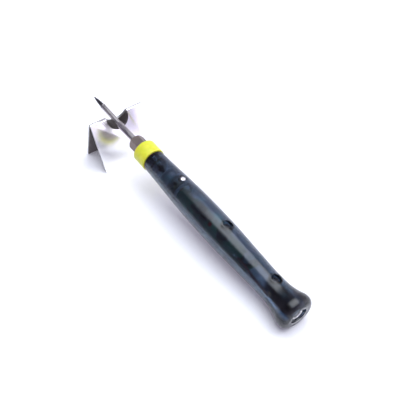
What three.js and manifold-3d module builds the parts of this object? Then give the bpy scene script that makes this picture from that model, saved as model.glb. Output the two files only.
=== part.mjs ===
// A small low-voltage soldering iron lying on its own folded sheet stand.
// Millimetres, +Z up. The stand's feet and the widest part of the handle's butt touch z = 0.
// The iron points along +Y and the stand's ridge runs along X.
//
// The iron is modelled in its own frame: +Y runs from the butt (0) to the tip, and +Z is the side
// with the touch ball and the screw wells. The whole iron is then rolled, pitched and laid down.

import * as THREE from "three";
import { mergeVertices } from "three/addons/utils/BufferGeometryUtils.js";
import Module from "manifold-3d";

const wasm = await Module();
wasm.setup();

// ---------------------------------------------------------------- driving dimensions

const IRON_LENGTH = 173;
const IRON_PITCH = THREE.MathUtils.degToRad(6.16);
const IRON_ROLL = THREE.MathUtils.degToRad(15);
const IRON_X = -1.2;

const ROUND_SEGMENTS = 36;
const SMALL_SEGMENTS = 20;
const TINY_SEGMENTS = 12;
const GAP = 0.3;

// Outside of the handle, as [distance from the butt, radius].
const HANDLE_PROFILE = [
  [0, 6.2],
  [0.5, 7.3],
  [1.5, 8.4],
  [3.3, 9.1],
  [5.6, 8.8],
  [8.2, 7.85],
  [11, 7.15],
  [13.7, 6.78],
  [19.2, 6.55],
  [25, 6.65],
  [30.6, 6.9],
  [36.5, 7.1],
  [42.5, 7.4],
  [49, 7.72],
  [55, 7.82],
  [61.3, 7.9],
  [68, 7.9],
  [74.6, 7.8],
  [81.5, 7.65],
  [88.5, 7.3],
  [95.7, 6.95],
  [103, 6.55],
  [111.4, 6.25],
];
const HANDLE_FRONT = 111.9;
const WALL = 1.3;
const PARTING_GAP = 0.2;

const NECK_RADIUS = 5.2;
const NECK_BORE = 3.9;
const NECK_START = 107.1;
const NECK_END = 119.7;

const END_RECESS_RADIUS = 4.6;
const END_RECESS_DEPTH = 1.2;
const JACK_HOLE_RADIUS = 3.2;
const JACK_POCKET_RADIUS = 4.3;
const JACK_POCKET_START = 2.4;
const JACK_POCKET_END = 14.6;

const RING_RADIUS = 6.7;
const RING_START = 112.2;
const RING_END = 121.2;
const RING_CHAMFER = 0.5;

const NUT_START = 121.5;
const NUT_END = 130;
const NUT_ACROSS_FLATS = 7.9;
const NUT_CHAMFER = 1.4;

const SLEEVE_RADIUS = 1.8;
const SEAM_WIDTH = 0.45;
const SEAM_ANGLE = THREE.MathUtils.degToRad(-73);
const SLEEVE_BORE = 1.45;
const SLEEVE_START = 109;
const SLEEVE_END = 146;

const BIT_RADIUS = 1.5;
const NEEDLE_BASE = 163.8;

const SCREW_STATIONS = [
  ["screw_front", 53],
  ["screw_rear", 18],
];
const WELL_RADIUS = 2.4;
const WELL_DEPTH = 2.8;
const BOSS_RADIUS = 3.3;
const POST_RADIUS = 3;
const SCREW_HOLE_RADIUS = 1.2;
const SCREW_SHANK_RADIUS = 0.9;
const SCREW_HEAD_RADIUS = 2;
const SCREW_HEAD_HEIGHT = 1.4;
const SCREW_TIP_Z = -4.6;

const BALL_STATION = 88.5;
const BALL_RADIUS = 2;
const BALL_Z = 5.5;
const BALL_HOLE_RADIUS = 1.75;
const BALL_RIM_RADIUS = 2.2;

const BOARD_TOP = -0.4;
const BOARD_THICKNESS = 1.2;
const BOARD_START = 31;
const BOARD_STEP = 80;
const BOARD_END = 91;
const BOARD_HALF_WIDE = 5;
const BOARD_HALF_NARROW = 4;
const BOARD_HOLE_RADIUS = 3.6;
const RIB_STATIONS = [43, 66, 91];

// The stand: one strip of sheet folded to a steep roof, with a round hole punched through the fold.
// The hole's centre lies a little below the fold on the front leg.
const STAND_Y = 150.34;
const STAND_WIDTH = 33;
const STAND_HEIGHT = 27.6;
const STAND_THICKNESS = 1;
const STAND_FOLD_RADIUS = 1.2;
const LEG_ANGLE = THREE.MathUtils.degToRad(20.2);
const HOLE_RADIUS = 6.79;
const HOLE_OFFSET = 1.82;

// ---------------------------------------------------------------- materials

function material(color, roughness, metalness = 0, opacity = 1) {
  return new THREE.MeshStandardMaterial({
    color,
    roughness,
    metalness,
    opacity,
    transparent: opacity < 1,
  });
}

const MATERIALS = {
  sheet: () => material(0xc9ccd2, 0.25, 1),
  smoke: () => material(0x14202e, 0.12, 0, 0.8),
  yellow: () => material(0xd9ea14, 0.4),
  darkSteel: () => material(0x4d4745, 0.45, 1),
  steel: () => material(0x8d8a89, 0.32, 1),
  bit: () => material(0x5a5654, 0.4, 1),
  chrome: () => material(0xe4e6ea, 0.08, 1),
  ceramic: () => material(0xd8d4c4, 0.6),
  clear: () => material(0xdfe8f0, 0.1, 0, 0.5),
  board: () => material(0x1d5a48, 0.45),
  chip: () => material(0x141416, 0.5),
  led: () => material(0xb02020, 0.2, 0, 0.8),
  brass: () => material(0xb89a50, 0.35, 1),
  blackPlastic: () => material(0x101012, 0.4),
  redWire: () => material(0xa01818, 0.45),
  blackWire: () => material(0x0c0c0e, 0.45),
};

// ---------------------------------------------------------------- solids

// Turns a closed three.js geometry into a solid with its faces pointing out.
function solid(geometry) {
  const bare = geometry.index ? geometry.clone() : mergeVertices(geometry);
  bare.deleteAttribute("normal");
  bare.deleteAttribute("uv");
  const merged = mergeVertices(bare, 1e-4);
  const position = merged.attributes.position;
  const index = merged.index.array;
  const a = new THREE.Vector3();
  const b = new THREE.Vector3();
  const c = new THREE.Vector3();
  const triangles = [];
  let volume = 0;
  for (let i = 0; i < index.length; i += 3) {
    const [p, q, r] = [index[i], index[i + 1], index[i + 2]];
    if (p === q || q === r || r === p) continue;
    triangles.push([p, q, r]);
    a.fromBufferAttribute(position, p);
    b.fromBufferAttribute(position, q);
    c.fromBufferAttribute(position, r);
    volume += a.dot(b.cross(c));
  }
  const outward = volume > 0 ? triangles : triangles.map(([p, q, r]) => [p, r, q]);
  const mesh = new wasm.Mesh({
    numProp: 3,
    vertProperties: new Float32Array(position.array),
    triVerts: new Uint32Array(outward.flat()),
  });
  return new wasm.Manifold(mesh);
}

function geometryOf(body) {
  const mesh = body.getMesh();
  const geometry = new THREE.BufferGeometry();
  geometry.setAttribute("position", new THREE.BufferAttribute(new Float32Array(mesh.vertProperties), 3));
  geometry.setIndex(new THREE.BufferAttribute(new Uint32Array(mesh.triVerts), 1));
  geometry.computeVertexNormals();
  return geometry;
}

// A turned solid about the Y axis from [y, radius] pairs. The outline starts and ends on the axis.
function turned(profile, segments = ROUND_SEGMENTS) {
  const points = profile.map(([y, radius]) => new THREE.Vector2(radius, y));
  return solid(new THREE.LatheGeometry(points, segments));
}

// A turned tube: the outline of its wall closes on itself.
function turnedTube(profile, segments = ROUND_SEGMENTS) {
  return turned([...profile, profile[0]], segments);
}

function box(x0, x1, y0, y1, z0, z1) {
  const geometry = new THREE.BoxGeometry(x1 - x0, y1 - y0, z1 - z0);
  geometry.translate((x0 + x1) / 2, (y0 + y1) / 2, (z0 + z1) / 2);
  return solid(geometry);
}

// A round bar standing along Z.
function post(x, y, z0, z1, radius, segments = SMALL_SEGMENTS) {
  const geometry = new THREE.CylinderGeometry(radius, radius, z1 - z0, segments);
  geometry.rotateX(Math.PI / 2);
  geometry.translate(x, y, (z0 + z1) / 2);
  return solid(geometry);
}

// A round bar lying along Y.
function bar(x, z, y0, y1, radius, segments = SMALL_SEGMENTS) {
  const geometry = new THREE.CylinderGeometry(radius, radius, y1 - y0, segments);
  geometry.translate(x, (y0 + y1) / 2, z);
  return solid(geometry);
}

// A round wire swept along a curve.
function wire(curve, radius, steps, sides = 6) {
  const section = new THREE.Shape();
  for (let i = 0; i < sides; i += 1) {
    const angle = (i / sides) * 2 * Math.PI;
    const [x, y] = [radius * Math.cos(angle), radius * Math.sin(angle)];
    if (i === 0) section.moveTo(x, y);
    else section.lineTo(x, y);
  }
  section.closePath();
  return solid(new THREE.ExtrudeGeometry(section, { steps, extrudePath: curve, bevelEnabled: false }));
}

function curveThrough(points) {
  return new THREE.CatmullRomCurve3(points.map((point) => new THREE.Vector3(...point)));
}

function radiusAt(station) {
  for (let i = 1; i < HANDLE_PROFILE.length; i += 1) {
    const [y0, r0] = HANDLE_PROFILE[i - 1];
    const [y1, r1] = HANDLE_PROFILE[i];
    if (station <= y1) return r0 + ((r1 - r0) * (station - y0)) / (y1 - y0);
  }
  return HANDLE_PROFILE.at(-1)[1];
}

function add(group, name, body, paint) {
  const mesh = new THREE.Mesh(geometryOf(body), paint());
  mesh.name = name;
  group.add(mesh);
}

// ---------------------------------------------------------------- handle

function handleOutside() {
  return turned([
    [0, 0],
    ...HANDLE_PROFILE,
    [HANDLE_FRONT, HANDLE_PROFILE.at(-1)[1] - 0.2],
    [HANDLE_FRONT, NECK_RADIUS],
    [NECK_END, NECK_RADIUS],
    [NECK_END, 0],
  ]);
}

function handleCavity() {
  const inside = HANDLE_PROFILE.filter(([y]) => y > JACK_POCKET_END + 1 && y < NECK_START - 1);
  return turned([
    [-1, 0],
    [-1, END_RECESS_RADIUS],
    [END_RECESS_DEPTH, END_RECESS_RADIUS],
    [END_RECESS_DEPTH, JACK_HOLE_RADIUS],
    [JACK_POCKET_START, JACK_HOLE_RADIUS],
    [JACK_POCKET_START, JACK_POCKET_RADIUS],
    [JACK_POCKET_END, JACK_POCKET_RADIUS],
    [JACK_POCKET_END, radiusAt(JACK_POCKET_END) - WALL],
    ...inside.map(([y, radius]) => [y, radius - WALL]),
    [NECK_START, radiusAt(NECK_START) - WALL],
    [NECK_START, NECK_BORE],
    [NECK_END + 1, NECK_BORE],
    [NECK_END + 1, 0],
  ]);
}

function addShells(iron) {
  const outside = handleOutside();
  const shell = outside.subtract(handleCavity());
  const half = PARTING_GAP / 2;
  let top = shell.intersect(box(-20, 20, -5, 130, half, 20));
  let bottom = shell.intersect(box(-20, 20, -5, 130, -20, -half));

  for (const [, station] of SCREW_STATIONS) {
    const floor = radiusAt(station) - WELL_DEPTH;
    top = top
      .add(post(0, station, half, 12, BOSS_RADIUS).intersect(outside))
      .subtract(post(0, station, floor, 12, WELL_RADIUS))
      .subtract(post(0, station, -1, floor + 1, SCREW_HOLE_RADIUS, TINY_SEGMENTS));
    bottom = bottom
      .add(post(0, station, -12, -half, POST_RADIUS).intersect(outside))
      .subtract(post(0, station, SCREW_TIP_Z - GAP, 1, SCREW_HOLE_RADIUS, TINY_SEGMENTS));
  }

  // The touch ball's hole: a dished mouth, a thin lip that keeps the ball in, and a pocket below.
  const skin = radiusAt(BALL_STATION);
  const rim = new THREE.CylinderGeometry(BALL_RIM_RADIUS + 0.3, BALL_HOLE_RADIUS, 1, SMALL_SEGMENTS);
  rim.rotateX(Math.PI / 2);
  rim.translate(0, BALL_STATION, skin + 0.15);
  top = top
    .subtract(post(0, BALL_STATION, 3, 12, BALL_HOLE_RADIUS))
    .subtract(solid(rim))
    .subtract(post(0, BALL_STATION, 3, skin - 0.65, BALL_RADIUS + 0.25));

  // Ribs across the lower half carry the circuit board.
  for (const station of RIB_STATIONS) {
    const ribTop = BOARD_TOP - BOARD_THICKNESS - GAP;
    const rib = box(-12, 12, station - 0.6, station + 0.6, -12, ribTop);
    bottom = bottom.add(rib.intersect(outside));
  }

  add(iron, "shell_top", top, MATERIALS.smoke);
  add(iron, "shell_bottom", bottom, MATERIALS.smoke);
}

function addScrews(iron) {
  for (const [name, station] of SCREW_STATIONS) {
    const seat = radiusAt(station) - WELL_DEPTH + 0.1;
    const headTop = seat + SCREW_HEAD_HEIGHT;
    const screw = post(0, station, seat, headTop, SCREW_HEAD_RADIUS)
      .add(post(0, station, SCREW_TIP_Z, seat + 0.5, SCREW_SHANK_RADIUS, TINY_SEGMENTS))
      .subtract(box(-1.2, 1.2, station - 0.3, station + 0.3, headTop - 0.7, headTop + 1))
      .subtract(box(-0.3, 0.3, station - 1.2, station + 1.2, headTop - 0.7, headTop + 1));
    add(iron, name, screw, MATERIALS.darkSteel);
  }
}

// ---------------------------------------------------------------- front end

function addFrontEnd(iron) {
  const ring = turnedTube([
    [RING_START, NECK_RADIUS + GAP],
    [RING_START, RING_RADIUS - 0.2],
    [RING_START + 0.2, RING_RADIUS],
    [RING_END - RING_CHAMFER, RING_RADIUS],
    [RING_END, RING_RADIUS - RING_CHAMFER],
    [RING_END, NECK_BORE],
    [NECK_END + GAP, NECK_BORE],
    [NECK_END + GAP, NECK_RADIUS + GAP],
  ]);
  add(iron, "front_ring", ring, MATERIALS.yellow);

  const bushBore = SLEEVE_RADIUS + GAP;
  const bush = turnedTube(
    [
      [105, bushBore],
      [105, 4.6],
      [106.8, 4.6],
      [106.8, 3.6],
      [120.7, 3.6],
      [120.7, 2.9],
      [128.6, 2.9],
      [128.6, bushBore],
    ],
    SMALL_SEGMENTS,
  );
  add(iron, "threaded_bush", bush, MATERIALS.steel);

  addCollarNut(iron);

  const sleeve = turnedTube(
    [
      [SLEEVE_START, SLEEVE_BORE],
      [SLEEVE_START, SLEEVE_RADIUS],
      [SLEEVE_END, SLEEVE_RADIUS],
      [SLEEVE_END, SLEEVE_BORE],
    ],
    SMALL_SEGMENTS,
  );
  // The sleeve is rolled from strip, so a narrow seam stays open along its whole length.
  const seam = new THREE.BoxGeometry(SEAM_WIDTH, SLEEVE_END - SLEEVE_START + 2, 3);
  seam.translate(0, (SLEEVE_START + SLEEVE_END) / 2, 1.5);
  seam.rotateY(SEAM_ANGLE);
  add(iron, "heater_sleeve", sleeve.subtract(solid(seam)), MATERIALS.steel);

  const shoulder = SLEEVE_END + 0.2;
  const bit = turned(
    [
      [139.6, 0],
      [139.6, 1.15],
      [shoulder, 1.15],
      [shoulder, BIT_RADIUS],
      [NEEDLE_BASE - 1.1, BIT_RADIUS],
      [NEEDLE_BASE - 0.8, BIT_RADIUS + 0.12],
      [NEEDLE_BASE - 0.3, BIT_RADIUS + 0.12],
      [NEEDLE_BASE, 1.25],
      [NEEDLE_BASE + 4.2, 1.02],
      [NEEDLE_BASE + 7.2, 0.6],
      [IRON_LENGTH - 0.6, 0.34],
      [IRON_LENGTH - 0.15, 0.2],
      [IRON_LENGTH, 0],
    ],
    SMALL_SEGMENTS,
  );
  add(iron, "tip_bit", bit, MATERIALS.bit);

  add(iron, "heater_rod", bar(0, 0, 91.4, 139, 1.1), MATERIALS.ceramic);
  // A bobbin of ceramic with a flange at each end holds the rod on the handle's centre line.
  const holder = turnedTube(
    [
      [92.6, 1.4],
      [92.6, 4.9],
      [94, 4.9],
      [94, 3.6],
      [97.6, 3.6],
      [97.6, 4.9],
      [99, 4.9],
      [99, 1.4],
    ],
    SMALL_SEGMENTS,
  );
  add(iron, "rod_holder", holder, MATERIALS.ceramic);

  for (const [name, side] of [["heater_lead_left", -1], ["heater_lead_right", 1]]) {
    const route = curveThrough([
      [side * 0.6, 91, 0.1],
      [side * 1.7, 90.6, 0.5],
      [side * 2.9, 88.6, 0.1],
    ]);
    add(iron, name, wire(route, 0.25, 6), MATERIALS.brass);
  }
}

function addCollarNut(iron) {
  const corner = NUT_ACROSS_FLATS / Math.sqrt(3);
  const hexagon = new THREE.CylinderGeometry(corner, corner, NUT_END - NUT_START, 6);
  hexagon.translate(0, (NUT_START + NUT_END) / 2, 0);
  const chamfers = turned([
    [NUT_START - 0.1, 0],
    [NUT_START - 0.1, corner - 0.5],
    [NUT_START + 0.5, corner + 0.1],
    [NUT_END - NUT_CHAMFER, corner + 0.1],
    [NUT_END + 0.1, corner - 1.3],
    [NUT_END + 0.1, 0],
  ]);
  const bore = turned(
    [
      [NUT_START - 1, 0],
      [NUT_START - 1, 3.2],
      [128.9, 3.2],
      [128.9, SLEEVE_RADIUS + GAP],
      [NUT_END + 1, SLEEVE_RADIUS + GAP],
      [NUT_END + 1, 0],
    ],
    SMALL_SEGMENTS,
  );
  add(iron, "collar_nut", solid(hexagon).intersect(chamfers).subtract(bore), MATERIALS.darkSteel);
}

// ---------------------------------------------------------------- inside the handle

function addTouchSwitch(iron) {
  const ball = new THREE.SphereGeometry(BALL_RADIUS, SMALL_SEGMENTS, 12);
  ball.rotateX(Math.PI / 2);
  ball.translate(0, BALL_STATION, BALL_Z);
  add(iron, "touch_ball", solid(ball), MATERIALS.chrome);

  const padTop = BOARD_TOP + 0.4;
  add(iron, "touch_pad", post(0, BALL_STATION, BOARD_TOP + 0.1, padTop, 1.6), MATERIALS.brass);

  const wireRadius = 0.2;
  const coilRadius = 1.1;
  const turns = 4.5;
  const bottom = padTop + 0.1 + wireRadius;
  const top = BALL_Z - BALL_RADIUS - 0.1 - wireRadius;
  const coil = [];
  const stepsPerTurn = 10;
  for (let i = 0; i <= turns * stepsPerTurn; i += 1) {
    const angle = (i / stepsPerTurn) * 2 * Math.PI;
    const height = bottom + ((top - bottom) * i) / (turns * stepsPerTurn);
    coil.push([coilRadius * Math.cos(angle), BALL_STATION + coilRadius * Math.sin(angle), height]);
  }
  add(iron, "touch_spring", wire(curveThrough(coil), wireRadius, turns * stepsPerTurn, 5), MATERIALS.steel);
}

function addElectronics(iron) {
  const outline = new THREE.Shape();
  outline.moveTo(-BOARD_HALF_WIDE, BOARD_START);
  outline.lineTo(BOARD_HALF_WIDE, BOARD_START);
  outline.lineTo(BOARD_HALF_WIDE, BOARD_STEP);
  outline.lineTo(BOARD_HALF_NARROW, BOARD_STEP);
  outline.lineTo(BOARD_HALF_NARROW, BOARD_END);
  outline.lineTo(-BOARD_HALF_NARROW, BOARD_END);
  outline.lineTo(-BOARD_HALF_NARROW, BOARD_STEP);
  outline.lineTo(-BOARD_HALF_WIDE, BOARD_STEP);
  outline.closePath();
  const plate = new THREE.ExtrudeGeometry(outline, { depth: BOARD_THICKNESS, bevelEnabled: false });
  plate.translate(0, 0, BOARD_TOP - BOARD_THICKNESS);
  const screwHole = post(0, SCREW_STATIONS[0][1], -4, 4, BOARD_HOLE_RADIUS);
  add(iron, "circuit_board", solid(plate).subtract(screwHole), MATERIALS.board);

  const seat = BOARD_TOP + 0.1;
  add(iron, "control_chip", box(-2, 2, 63.5, 68.5, seat, seat + 1.5), MATERIALS.chip);
  add(iron, "power_transistor", box(-2.75, 2.75, 69.5, 75.5, seat, seat + 2.2), MATERIALS.chip);
  add(iron, "indicator_led", post(-1.7, 61.4, seat, seat + 1.8, 1, TINY_SEGMENTS), MATERIALS.led);
  add(iron, "vibration_sensor", bar(1.9, seat + 1.5, 77, 82.6, 1.5), MATERIALS.chrome);
  add(iron, "capacitor", post(0, 35, seat, seat + 3.6, 2.5), MATERIALS.steel);
  [[-3.4, 67], [3.4, 62], [3.4, 65]].forEach(([x, y], i) => {
    const resistor = box(x - 0.4, x + 0.4, y - 0.8, y + 0.8, seat, seat + 0.5);
    add(iron, `resistor_${i}`, resistor, MATERIALS.chip);
  });

  const lightRing = turnedTube([
    [84.6, 4.75],
    [84.6, 5.7],
    [86, 5.7],
    [86, 4.75],
  ]);
  add(iron, "light_ring", lightRing, MATERIALS.clear);
}

function addJack(iron) {
  const bush = turnedTube([
    [1, 1.8],
    [1, 2.6],
    [1.3, 2.9],
    [5.2, 2.9],
    [5.2, 1.8],
  ]);
  add(iron, "jack_bush", bush, MATERIALS.chrome);

  const body = turned([
    [14.2, 0],
    [14.2, 4],
    [2.7, 4],
    [2.7, 3.2],
    [5.5, 3.2],
    [5.5, 1.8],
    [13.4, 1.8],
    [13.4, 0],
  ]);
  add(iron, "jack_body", body, MATERIALS.blackPlastic);
  add(iron, "jack_contact", box(-0.5, 0.5, 8.5, 13.1, 0.8, 1.1), MATERIALS.brass);

  const sides = [
    ["left", -1, MATERIALS.redWire],
    ["right", 1, MATERIALS.blackWire],
  ];
  for (const [name, side, paint] of sides) {
    const [near, far] = [side * 3.2, side * 3.6];
    const lug = box(Math.min(near, far), Math.max(near, far), 14.5, 16.2, -0.8, 0.8);
    add(iron, `jack_lug_${name}`, lug, MATERIALS.brass);
    const route = curveThrough([
      [side * 4.35, 15.1, 0],
      [side * 4.35, 19, 0],
      [side * 4.3, 25, 0.3],
      [side * 3.7, 32, 0.7],
      [side * 3.1, 38.5, 0.35],
    ]);
    add(iron, `supply_wire_${name}`, wire(route, 0.5, 16, 8), paint);
  }
}

// ---------------------------------------------------------------- stand

// Cross-section of the folded sheet in the plane across its ridge: first number along the iron,
// second number up.
function standSection() {
  const section = new THREE.Shape();
  const slope = Math.tan(LEG_ANGLE);
  const outerTip = STAND_HEIGHT + STAND_FOLD_RADIUS * (1 / Math.sin(LEG_ANGLE) - 1);
  const centreZ = STAND_HEIGHT - STAND_FOLD_RADIUS;
  const innerRadius = STAND_FOLD_RADIUS - STAND_THICKNESS;
  const innerTip = outerTip - STAND_THICKNESS / Math.sin(LEG_ANGLE);
  const arcSteps = 8;
  const arc = (radius, from, to) => {
    for (let i = 0; i <= arcSteps; i += 1) {
      const angle = from + ((to - from) * i) / arcSteps;
      section.lineTo(radius * Math.sin(angle), centreZ + radius * Math.cos(angle));
    }
  };
  const reach = Math.PI / 2 - LEG_ANGLE;
  section.moveTo(-outerTip * slope, 0);
  arc(STAND_FOLD_RADIUS, -reach, reach);
  section.lineTo(outerTip * slope, 0);
  section.lineTo(innerTip * slope, 0);
  arc(innerRadius, reach, -reach);
  section.lineTo(-innerTip * slope, 0);
  section.closePath();
  return section;
}

// The part of the punch that goes through one leg. side is -1 for the front leg, nearer the
// handle, and +1 for the back leg. along is how far down the leg the hole's centre lies.
function legPunch(side, along) {
  const outerTip = STAND_HEIGHT + STAND_FOLD_RADIUS * (1 / Math.sin(LEG_ANGLE) - 1);
  const out = 2;
  const inside = STAND_THICKNESS + 0.4;
  const punch = new THREE.CylinderGeometry(HOLE_RADIUS, HOLE_RADIUS, out + inside, 40);
  punch.translate(0, (out - inside) / 2, 0);
  const lean = new THREE.Matrix4().makeRotationX(side > 0 ? LEG_ANGLE : Math.PI - LEG_ANGLE);
  punch.applyMatrix4(lean);
  const fromTip = along + outerTip - STAND_HEIGHT;
  const y = side * fromTip * Math.sin(LEG_ANGLE);
  const z = outerTip - fromTip * Math.cos(LEG_ANGLE);
  punch.translate(0, y, z);
  return solid(punch);
}

function addStand(model) {
  const strip = new THREE.ExtrudeGeometry(standSection(), { depth: STAND_WIDTH, bevelEnabled: false });
  strip.translate(0, 0, -STAND_WIDTH / 2);
  // The section's first axis becomes Y, its second becomes Z and the extrusion runs along X.
  strip.applyMatrix4(new THREE.Matrix4().set(0, 0, 1, 0, 1, 0, 0, 0, 0, 1, 0, 0, 0, 0, 0, 1));
  const sheet = solid(strip)
    .subtract(legPunch(-1, HOLE_OFFSET))
    .subtract(legPunch(1, -HOLE_OFFSET));
  const stand = new THREE.Group();
  stand.position.y = STAND_Y;
  add(stand, "stand_sheet", sheet, MATERIALS.sheet);
  model.add(stand);
}

// ---------------------------------------------------------------- the object

function buildIron() {
  const iron = new THREE.Group();
  addShells(iron);
  addScrews(iron);
  addFrontEnd(iron);
  addTouchSwitch(iron);
  addElectronics(iron);
  addJack(iron);

  // The butt's widest ring rests on the floor.
  const reach = HANDLE_PROFILE.map(
    ([y, radius]) => radius * Math.cos(IRON_PITCH) - y * Math.sin(IRON_PITCH),
  );
  iron.rotation.set(IRON_PITCH, IRON_ROLL, 0);
  iron.position.set(IRON_X, 0, Math.max(...reach));
  return iron;
}

const model = new THREE.Group();
model.add(buildIron());
addStand(model);

// The origin is the middle of the object's footprint.
const object = new THREE.Group();
object.add(model);
object.updateMatrixWorld(true);
const extent = new THREE.Box3().setFromObject(object, true);
model.position.y = -(extent.min.y + extent.max.y) / 2;
object.updateMatrixWorld(true);

export default object;
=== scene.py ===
"""A small soldering iron with a smoky see-through handle, lying on its folded sheet stand."""

import math

import bmesh
import bpy
from mathutils import Matrix, Vector


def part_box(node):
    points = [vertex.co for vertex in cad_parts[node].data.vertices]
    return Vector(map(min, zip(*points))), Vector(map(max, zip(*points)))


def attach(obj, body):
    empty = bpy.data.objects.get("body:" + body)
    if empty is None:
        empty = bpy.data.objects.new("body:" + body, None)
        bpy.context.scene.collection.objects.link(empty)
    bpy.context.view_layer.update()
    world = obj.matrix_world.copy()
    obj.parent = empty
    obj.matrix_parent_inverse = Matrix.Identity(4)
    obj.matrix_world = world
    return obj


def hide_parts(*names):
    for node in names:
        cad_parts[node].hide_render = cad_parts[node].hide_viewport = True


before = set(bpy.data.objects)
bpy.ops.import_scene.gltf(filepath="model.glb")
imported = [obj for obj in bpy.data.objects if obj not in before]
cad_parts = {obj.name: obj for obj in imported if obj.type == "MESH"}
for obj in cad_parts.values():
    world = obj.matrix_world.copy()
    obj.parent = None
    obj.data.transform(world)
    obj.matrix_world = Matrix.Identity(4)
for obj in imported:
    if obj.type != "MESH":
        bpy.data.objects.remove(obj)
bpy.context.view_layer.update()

MM = 0.001

# ------------------------------------------------------------------ the iron's own frame
# +Y runs from the butt to the tip and +Z is the side with the touch ball, in millimetres.

PITCH = math.radians(6.16)
ROLL = math.radians(15)
BUTT_RADIUS = 9.1
BUTT_STATION = 3.3
IRON_X = -1.2
STAND_STATION = 150.34

stand_low, stand_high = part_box("stand_sheet")
stand_y = (stand_low.y + stand_high.y) / 2 / MM
butt_height = BUTT_RADIUS * math.cos(PITCH) - BUTT_STATION * math.sin(PITCH)
IRON = (
    Matrix.Translation((IRON_X * MM, (stand_y - STAND_STATION) * MM, butt_height * MM))
    @ Matrix.Rotation(PITCH, 4, "X")
    @ Matrix.Rotation(ROLL, 4, "Y")
)
STAND = Matrix.Translation((0, stand_y * MM, 0))


# ------------------------------------------------------------------ camera

CAMERA_TARGET = Vector((6.64, -3.72, 10)) * MM
CAMERA_AZIMUTH = math.radians(-35.27)
CAMERA_ELEVATION = math.radians(45.42)
CAMERA_ROLL = math.radians(-2.07)
CAMERA_DISTANCE = 0.30785
CAMERA_LENS = 54

back = Vector(
    (
        math.sin(CAMERA_AZIMUTH) * math.cos(CAMERA_ELEVATION),
        -math.cos(CAMERA_AZIMUTH) * math.cos(CAMERA_ELEVATION),
        math.sin(CAMERA_ELEVATION),
    )
)
level_right = (-back).cross(Vector((0, 0, 1))).normalized()
level_up = level_right.cross(-back)
right = math.cos(CAMERA_ROLL) * level_right + math.sin(CAMERA_ROLL) * level_up
up = math.cos(CAMERA_ROLL) * level_up - math.sin(CAMERA_ROLL) * level_right
camera_data = bpy.data.cameras.new("camera")
camera_data.lens = CAMERA_LENS
camera_data.sensor_width = 36
camera_data.clip_start = 0.01
camera = bpy.data.objects.new("camera", camera_data)
camera.matrix_world = Matrix.Translation(CAMERA_TARGET + back * CAMERA_DISTANCE) @ Matrix(
    (right, up, back)
).transposed().to_4x4()
bpy.context.collection.objects.link(camera)
bpy.context.scene.camera = camera


# ------------------------------------------------------------------ mesh helpers


def make_piece(name, verts, faces, matrix=IRON, smooth=32):
    """A mesh object from points in millimetres in the given frame, with outward faces."""
    mesh = bpy.data.meshes.new(name)
    mesh.from_pydata([Vector(v) * MM for v in verts], [], faces)
    work = bmesh.new()
    work.from_mesh(mesh)
    bmesh.ops.remove_doubles(work, verts=work.verts, dist=1e-7)
    bmesh.ops.recalc_face_normals(work, faces=work.faces)
    work.to_mesh(mesh)
    work.free()
    mesh.transform(matrix)
    piece = bpy.data.objects.new(name, mesh)
    bpy.context.collection.objects.link(piece)
    shade(piece, smooth)
    return piece


def shade(piece, angle):
    """Smooth shading that keeps edges sharper than the angle, in degrees."""
    for polygon in piece.data.polygons:
        polygon.use_smooth = True
    piece.data.set_sharp_from_angle(angle=math.radians(angle))


def apply_modifiers(piece):
    graph = bpy.context.evaluated_depsgraph_get()
    mesh = bpy.data.meshes.new_from_object(piece.evaluated_get(graph))
    piece.modifiers.clear()
    piece.data = mesh


def combine(piece, other, operation):
    """Joins, cuts or intersects two closed meshes and removes the second."""
    modifier = piece.modifiers.new("combine", "BOOLEAN")
    modifier.operation = operation
    modifier.solver = "EXACT"
    modifier.object = other
    apply_modifiers(piece)
    bpy.data.objects.remove(other)
    return piece


def bevel(piece, width, segments=2, angle=40):
    modifier = piece.modifiers.new("bevel", "BEVEL")
    modifier.width = width * MM
    modifier.segments = segments
    modifier.limit_method = "ANGLE"
    modifier.angle_limit = math.radians(angle)
    modifier.harden_normals = False
    apply_modifiers(piece)
    shade(piece, 32)
    return piece


def rounded(corners, steps=4):
    """An outline of (along, radius, fillet) corners with each corner rounded off."""
    outline = []
    count = len(corners)
    for i, (along, radius, fillet) in enumerate(corners):
        corner = Vector((along, radius))
        if not fillet:
            outline.append(tuple(corner))
            continue
        before = Vector(corners[i - 1][:2]) - corner
        after = Vector(corners[(i + 1) % count][:2]) - corner
        cut = min(fillet, before.length * 0.48, after.length * 0.48)
        start = corner + before.normalized() * cut
        end = corner + after.normalized() * cut
        for k in range(steps + 1):
            t = k / steps
            point = start * (1 - t) ** 2 + corner * 2 * t * (1 - t) + end * t**2
            outline.append(tuple(point))
    return outline


def arc_points(cx, cy, radius, start, end, steps=5):
    """Points on an arc, between two angles in degrees."""
    angles = [math.radians(start + (end - start) * k / steps) for k in range(steps + 1)]
    return [(cx + radius * math.cos(a), cy + radius * math.sin(a)) for a in angles]


def spline(points, per_span):
    """A smooth curve through points of any dimension."""
    padded = [points[0], *points, points[-1]]
    out = []
    for i in range(1, len(padded) - 2):
        p0, p1, p2, p3 = (Vector(padded[i + k]) for k in (-1, 0, 1, 2))
        for k in range(per_span):
            t = k / per_span
            out.append(
                0.5
                * (
                    2 * p1
                    + (p2 - p0) * t
                    + (2 * p0 - 5 * p1 + 4 * p2 - p3) * t**2
                    + (3 * p1 - p0 - 3 * p2 + p3) * t**3
                )
            )
    out.append(Vector(points[-1]))
    return out


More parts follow.
